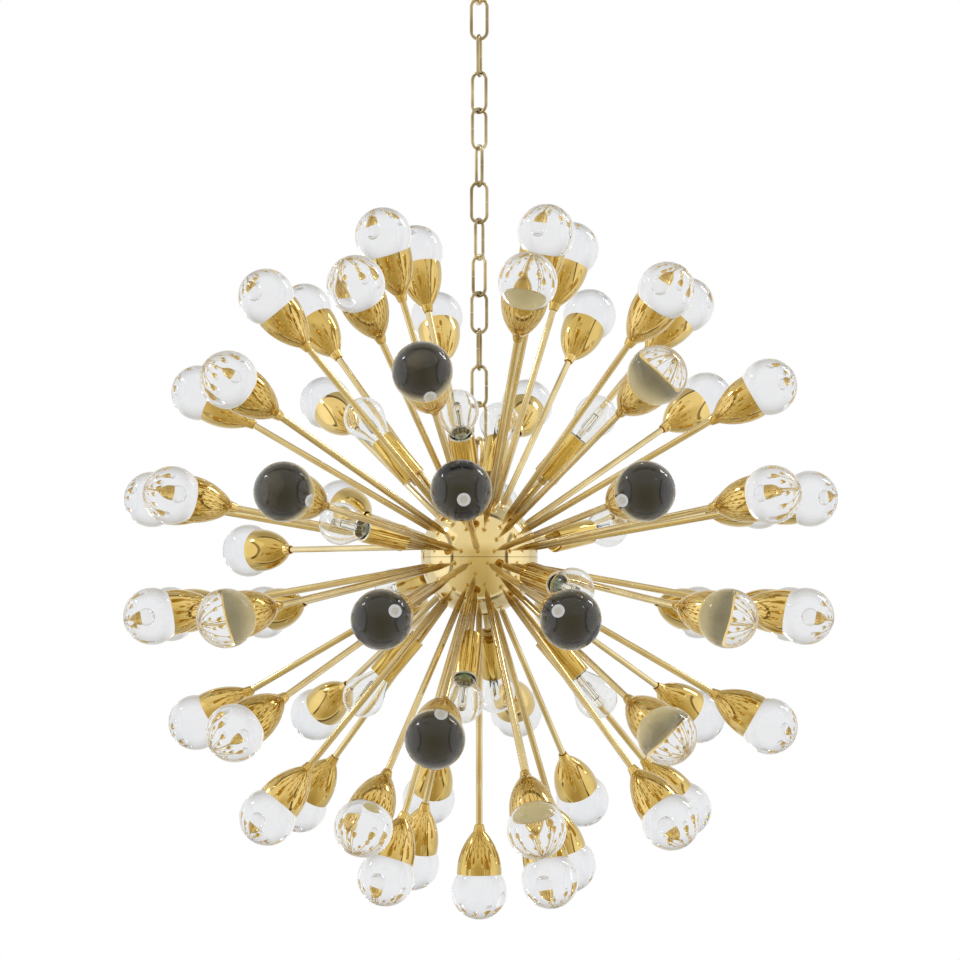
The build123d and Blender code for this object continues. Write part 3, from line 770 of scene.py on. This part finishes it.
def collar_side(radius, height):
    """0 for the ends of the collar, darkened with painted shade, 1 for the bright bead round its middle."""
    middle = SLEEVE_BASE - LAMP_COLLAR_LENGTH / 2
    on_bead = abs(height - middle) < LAMP_COLLAR_BEAD_HALF
    outside = radius > LAMP_COLLAR_RADIUS * COLLAR_SKIN_SHARE
    return 1 if on_bead and outside else 0


def sleeve_side(radius, height):
    """0 for the side of the sleeve, 1 for the lip of its mouth, painted pale as a highlight."""
    on_top = height > SLEEVE_MOUTH - SLEEVE_EDGE
    on_lip = radius < SLEEVE_RADIUS - SLEEVE_WALL and height > SLEEVE_MOUTH - SLEEVE_LIP_HEIGHT - FIT
    return 1 if on_top or on_lip else 0


def sleeve_outline():
    inside = SLEEVE_RADIUS - SLEEVE_WALL
    lip = SLEEVE_RADIUS - SLEEVE_LIP_WIDTH
    lip_base = SLEEVE_MOUTH - SLEEVE_LIP_HEIGHT
    hole = LAMP_TIP_RADIUS + FIT
    corners = [
        (hole, SLEEVE_BASE),
        (SLEEVE_RADIUS, SLEEVE_BASE),
        (SLEEVE_RADIUS, SLEEVE_MOUTH),
        (lip, SLEEVE_MOUTH),
        (lip, lip_base),
        (inside, lip_base),
        (inside, HOLDER_BASE),
        (hole, HOLDER_BASE),
    ]
    return eased(corners, SLEEVE_EDGE)


def holder_outline():
    outside = SLEEVE_RADIUS - SLEEVE_WALL - HOLDER_SIDE_GAP
    mouth_floor = HOLDER_TOP - HOLDER_MOUTH_DEPTH
    socket = CAP_RADIUS + FIT
    socket_floor = CAP_BASE - CAP_CONTACT_HEIGHT - SEAT
    hole = LAMP_TIP_RADIUS + FIT
    grip = HOLDER_BASE + LAMP_TIP_GRIP + FIT
    corners = [
        (0, grip),
        (hole, grip),
        (hole, HOLDER_BASE),
        (outside, HOLDER_BASE),
        (outside, HOLDER_TOP),
        (HOLDER_MOUTH_RADIUS, HOLDER_TOP),
        (HOLDER_MOUTH_RADIUS, mouth_floor),
        (socket, mouth_floor),
        (socket, socket_floor),
        (0, socket_floor),
    ]
    return eased(corners, HOLDER_EASE)


def bulb_wall(inset):
    """Foot of the neck and the ball's arc of one side of the bulb's glass, inset from the outside."""
    radius = BULB_RADIUS - inset
    foot = BULB_NECK_RADIUS - inset
    height = BULB_CENTRE - BULB_FOOT
    flare = math.degrees(math.asin(radius / math.hypot(foot, height)) - math.atan(foot / height))
    ball = arc((0, BULB_CENTRE), radius, -flare, 90, BULB_STEPS)
    ball[-1] = (0, ball[-1][1])
    t = (SLEEVE_MOUTH - BULB_FOOT) / (ball[0][1] - BULB_FOOT)
    return [(foot, BULB_FOOT), (foot * (1 - t) + ball[0][0] * t, SLEEVE_MOUTH)] + ball


def globe_side(radius, height):
    """0 for the clear ball of the bulb, 1 for the green glass of its neck inside the sleeve."""
    return 1 if height < SLEEVE_MOUTH else 0


def globe_outline():
    return list(reversed(bulb_wall(0))) + bulb_wall(BULB_WALL)


def stem_outline():
    flare_top = BULB_FOOT + BULB_STEM_FLARE_HEIGHT
    corners = [
        (0, BULB_FOOT),
        (BULB_STEM_FLARE_RADIUS, BULB_FOOT),
        (BULB_STEM_FLARE_RADIUS, flare_top),
        (BULB_STEM_RADIUS, flare_top),
        (BULB_STEM_RADIUS, BULB_STEM_TOP),
        (0, BULB_STEM_TOP),
    ]
    return eased(corners, STEM_EASE)


def stem_side(radius, height):
    """0 for the clear post of the stem, 1 for the green glass of its flare."""
    return 1 if height < BULB_FOOT + BULB_STEM_FLARE_HEIGHT else 0


def capsule_outline():
    dome = BULB_STEM_TOP + CAPSULE_LENGTH - CAPSULE_RADIUS
    top = arc((0, dome), CAPSULE_RADIUS, 0, 90, DOME_STEPS)
    top[-1] = (0, top[-1][1])
    foot = [
        (0, BULB_STEM_TOP),
        (CAPSULE_FOOT_RADIUS, BULB_STEM_TOP),
        (CAPSULE_RADIUS, BULB_STEM_TOP + CAPSULE_FOOT_HEIGHT),
    ]
    return foot + top


def bar_outline(radius, bottom, top):
    """A plain round bar between two heights."""
    return [(0, bottom), (radius, bottom), (radius, top), (0, top)]


# Arms

upper_crystals = ring_places(CRYSTAL_RINGS, 1, UPPER_TURN)
lower_crystals = ring_places(CRYSTAL_RINGS, -1, LOWER_TURN)
upper_lamps = ring_places(LAMP_RINGS, 1, UPPER_TURN)
lower_lamps = ring_places(LAMP_RINGS, -1, LOWER_TURN)
lamp_places = sum([*upper_lamps.values(), *lower_lamps.values()], [])
crystal_rings = {f"upper_{latitude}": places for latitude, places in upper_crystals.items()}
crystal_rings.update({f"lower_{latitude}": places for latitude, places in lower_crystals.items()})
crystal_rings["lower_70"] = crystal_rings["lower_70"] + [arm_place(-90, 0)]

# The bend of the sagging arm turns its shank about a point just off the hub
to_bend = Matrix.Translation((0, 0, BEND_RADIUS))
sag_bend = to_bend @ turn("Y", SAG_DROP) @ turn("X", -SAG_SWING) @ to_bend.inverted()

rod = Turned(rod_outline(), ROD_SEGMENTS)
spigot = Turned(bar_outline(SPIGOT_RADIUS, ROD_START, BEND_RADIUS), ROD_SEGMENTS)
bent_shank = Turned(shank_outline(), ROD_SEGMENTS)
cup = Turned(cup_outline(), FINE_SEGMENTS, cup_side)
ferrule = Turned(ferrule_outline(), RING_SEGMENTS)
ball = Turned(ball_outline(), FINE_SEGMENTS, ball_side)
cup_materials = [polished_brass, cup_inside_shaded_brass]
ball_materials = [crystal_glass, hole_floor, hole_wall]

ferrules = []
for name, places in crystal_rings.items():
    rods = [(rod, place) for place in places]
    ends = list(places)
    if name == SAGGING_RING:
        bent = places[SAGGING_INDEX]
        ends[SAGGING_INDEX] = bent @ sag_bend
        rods[SAGGING_INDEX] = (spigot, bent)
        rods.append((bent_shank, bent @ sag_bend))
    build(f"rods_{name}", rods, [satin_brass], f"crystal_rods_{name}")
    cups = [(cup, end) for end in ends]
    build(f"cups_{name}", cups, cup_materials, f"crystal_cups_{name}")
    balls = [(ball, end) for end in ends]
    build(f"balls_{name}", balls, ball_materials, f"crystal_balls_{name}")
    ferrules += [(ferrule, end) for end in ends]
build("ferrules", ferrules, [polished_brass], "crystal_ferrules")

tube = Turned(tube_outline(), ROD_SEGMENTS)
collar = Turned(collar_outline(), RING_SEGMENTS, collar_side)
sleeve = Turned(sleeve_outline(), FINE_SEGMENTS, sleeve_side)
lampholder = Turned(holder_outline(), HOLDER_SEGMENTS)
globe = Turned(globe_outline(), FINE_SEGMENTS, globe_side)
stem = Turned(stem_outline(), STEM_SEGMENTS, stem_side)
capsule = Turned(capsule_outline(), ROD_SEGMENTS)
lamp_pieces = (
    ("tubes", tube, [satin_brass], "lamp_tubes", "satin_brass"),
    ("collars", collar, [collar_shaded_brass, satin_brass], "lamp_collars", "polished_brass"),
    ("sleeves", sleeve, [sleeve_brass, rim_highlight_brass], "lamp_sleeves", "polished_brass"),
    ("holders", lampholder, [black_plastic], "lampholders", "black_plastic"),
    ("globes", globe, [bulb_glass, neck_glass], "bulb_globes", "bulb_glass"),
    ("stems", stem, [quartz_glass, stem_foot_glass], "bulb_stems", "bulb_glass"),
    ("capsules", capsule, [quartz_glass], "bulb_capsules", "bulb_glass"),
)
for name, shape, materials, node, slot in lamp_pieces:
    build(f"lamp_{name}", [(shape, place) for place in lamp_places], materials, node)

# Two leads in each capsule with a filament between their ends
lead_top = BULB_STEM_TOP + LEAD_RISE
lead = Turned(bar_outline(LEAD_RADIUS, BULB_STEM_TOP, lead_top), LEAD_SEGMENTS)
filament = Turned(bar_outline(FILAMENT_RADIUS, -LEAD_SPREAD, LEAD_SPREAD), FILAMENT_SEGMENTS)
leads = []
for place in lamp_places:
    for side in (-1, 1):
        leads.append((lead, place @ Matrix.Translation((side * LEAD_SPREAD, 0, 0))))
    leads.append((filament, place @ Matrix.Translation((0, 0, lead_top)) @ turn("Y", 90)))
build("lamp_leads", leads, [lead_metal], None)

# CAD nodes that stay, with their own materials
node_materials = {
    "ceiling_bracket": zinc_steel,
    "bracket_lock_nut": zinc_steel,
    "canopy_nipple": zinc_steel,
    "ceiling_canopy": shell_brass,
    "canopy_collar": shell_brass,
    "canopy_loop": shell_brass,
    "hub_loop": shell_brass,
    "hub_neck_collar": shell_brass,
    "hub_upper_shell": hub_brass,
    "hub_lower_shell": hub_brass,
    "hub_tie_rod": zinc_steel,
    "tie_rod_nut": zinc_steel,
    "hub_terminal_block": black_plastic,
    "arm_lock_nuts": zinc_steel,
    "ball_studs": stud_shaded_brass,
    "bulb_caps": zinc_steel,
}
node_materials.update({f"chain_link_{number:02d}": chain_brass for number in range(1, CHAIN_LINKS + 1)})
for node, material in node_materials.items():
    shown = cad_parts[node]
    if not shown.material_slots:
        shown.data.materials.append(material)
    for material_slot in shown.material_slots:
        material_slot.material = material

# Floor of a room 2.6 m high, well below the lowest ball
FLOOR_Z = -2.6
FLOOR_RADIUS = 2.9
floor_mesh = bpy.data.meshes.new("floor")
floor_shape = bmesh.new()
bmesh.ops.create_circle(floor_shape, cap_ends=True, segments=FLOOR_SEGMENTS, radius=FLOOR_RADIUS)
floor_shape.to_mesh(floor_mesh)
floor_shape.free()
floor = bpy.data.objects.new("floor", floor_mesh)
floor.location = (0, 0, FLOOR_Z)
bpy.context.scene.collection.objects.link(floor)
floor_mesh.materials.append(plain("floor_paint", (0.90, 0.90, 0.89), (0.88, 0.88, 0.87), 0.6, scale=4.0))
floor.visible_glossy = False
floor.visible_transmission = False

# World: white to the camera. Brass and glass see white walls, and a warm, darker open front on the
# side that the photograph was taken from
world = bpy.data.worlds.new("studio")
bpy.context.scene.world = world
world.use_nodes = True
sky = world.node_tree
background = sky.nodes["Background"]
output = sky.nodes["World Output"]
direction = sky.nodes.new("ShaderNodeTexCoord").outputs["Generated"]
axes = sky.nodes.new("ShaderNodeSeparateXYZ")
sky.links.new(direction, axes.inputs["Vector"])


def sky_sum(operation, first, second):
    return node_sum(sky, operation, first, second)


def sky_ramp(value, *stops):
    return node_ramp(sky, value, *stops)


def sky_mix(blend, factor, first, second):
    return node_mix(sky, blend, factor, first, second)


# White walls at the sides and back, greyer in the corners between them. Rays that pass straight through
# glass see such walls in front too
CORNER = (0.86, 0.865, 0.88)
BACK = (0.85, 0.855, 0.87)
path = sky.nodes.new("ShaderNodeLightPath")
unreflected = sky_sum("LESS_THAN", path.outputs["Glossy Depth"], 0.5)
through_glass = sky_sum("MULTIPLY", path.outputs["Is Transmission Ray"], unreflected)
fold = sky_sum("SUBTRACT", sky_sum("ABSOLUTE", axes.outputs["Y"], 0), axes.outputs["Y"])
depth = sky_sum("ADD", axes.outputs["Y"], sky_sum("MULTIPLY", through_glass, fold))
side_walls = sky_ramp(depth, (0.0, WHITE), (0.25, CORNER), (0.55, CORNER), (0.92, BACK))
# Above and below, a dark gap and then a dimmer backdrop that brightens towards its middle
GAP = (0.20, 0.17, 0.12)
DIM = (0.56, 0.55, 0.53)
upright = sky_ramp(
    depth, (0.0, WHITE), (0.03, GAP), (0.13, GAP), (0.18, DIM), (0.55, DIM), (0.92, BACK)
)
sideways = sky_sum("ABSOLUTE", axes.outputs["X"], 0)
to_side = sky_ramp(sideways, (0.40, BLACK), (0.65, WHITE))
walls = sky_mix("MIX", to_side, upright, side_walls)
# An open front from floor to ceiling on the photograph's side, brighter above, between two dark edges
CREAM = (1.0, 0.94, 0.78)
height = sky_sum("ADD", sky_sum("MULTIPLY", axes.outputs["Z"], 0.5), 0.5)
front = sky_ramp(
    height,
    (0.0, (0.52, 0.44, 0.25)),
    (0.35, (0.63, 0.54, 0.31)),
    (0.58, (0.68, 0.59, 0.35)),
    (0.74, CREAM),
    (1.0, (1.0, 0.96, 0.84)),
)
to_cream = sky_ramp(sideways, (0.25, BLACK), (0.75, (0.65, 0.65, 0.65)))
front = sky_mix("MIX", to_cream, front, sky_ramp(height, (0.0, CREAM), (1.0, WHITE)))
between = sky_ramp(sideways, (0.835, WHITE), (0.85, BLACK))
ahead = sky_ramp(sky_sum("MULTIPLY", depth, -1), (0.0, BLACK), (0.12, WHITE))
open_front = sky_mix("MULTIPLY", 1.0, between, ahead)
EDGE = (0.20, 0.16, 0.10)
edges = sky_ramp(sideways, (0.77, WHITE), (0.80, EDGE), (0.846, EDGE), (0.858, WHITE))
room_colour = sky_mix("MIX", open_front, walls, front)
room_colour = sky_mix("MULTIPLY", ahead, room_colour, edges)
room = sky.nodes.new("ShaderNodeBackground")
sky.links.new(room_colour, room.inputs["Color"])
room.inputs["Strength"].default_value = 1.0
background.inputs["Color"].default_value = (*WHITE, 1.0)
background.inputs["Strength"].default_value = 1.0
mix = sky.nodes.new("ShaderNodeMixShader")
sky.links.new(path.outputs["Is Camera Ray"], mix.inputs["Fac"])
sky.links.new(room.outputs["Background"], mix.inputs[1])
sky.links.new(background.outputs["Background"], mix.inputs[2])
sky.links.new(mix.outputs["Shader"], output.inputs["Surface"])


def softbox(name, place, target, width, height, power):
    """A rectangular soft lamp that faces its target."""
    lamp = bpy.data.lights.new(name, "AREA")
    lamp.shape = "RECTANGLE"
    lamp.size = width
    lamp.size_y = height
    lamp.energy = power
    holder = bpy.data.objects.new(name, lamp)
    holder.location = place
    holder.rotation_euler = (Vector(target) - Vector(place)).to_track_quat("-Z", "Y").to_euler()
    bpy.context.scene.collection.objects.link(holder)


# Each lamp's name, place, width and height in metres, and power in watts
hub_centre = (0, 0, HUB_Z * MM)
lamp_table = (
    ("key_light", (-3.2, -0.4, -0.2), 3.4, 4.6, 12),
    ("fill_light", (3.2, -0.2, -0.4), 3.4, 4.6, 9),
    ("left_spark", (-2.73, 0.2, 1.5), 0.4, 0.4, 7),
    ("right_spark", (2.44, 1.14, 1.56), 0.5, 1.2, 16),
)
for name, place, width, tall, power in lamp_table:
    softbox(name, place, hub_centre, width, tall, power)

# Camera: in front of the hub and about level with it
CAMERA_DISTANCE = 3.444
CAMERA_BELOW_HUB = 0.019
SENSOR_WIDTH = 36.0
LENS = 120.0
SHIFT = (0.0008, 0.0987)
camera_data = bpy.data.cameras.new("camera")
camera_data.sensor_width = SENSOR_WIDTH
camera_data.lens = LENS
camera_data.shift_x, camera_data.shift_y = SHIFT
camera = bpy.data.objects.new("camera", camera_data)
camera.location = (0, -CAMERA_DISTANCE, HUB_Z * MM - CAMERA_BELOW_HUB)
camera.rotation_euler = (math.radians(90), 0, 0)
bpy.context.scene.collection.objects.link(camera)
bpy.context.scene.camera = camera

bpy.context.scene.view_settings.view_transform = "Standard"
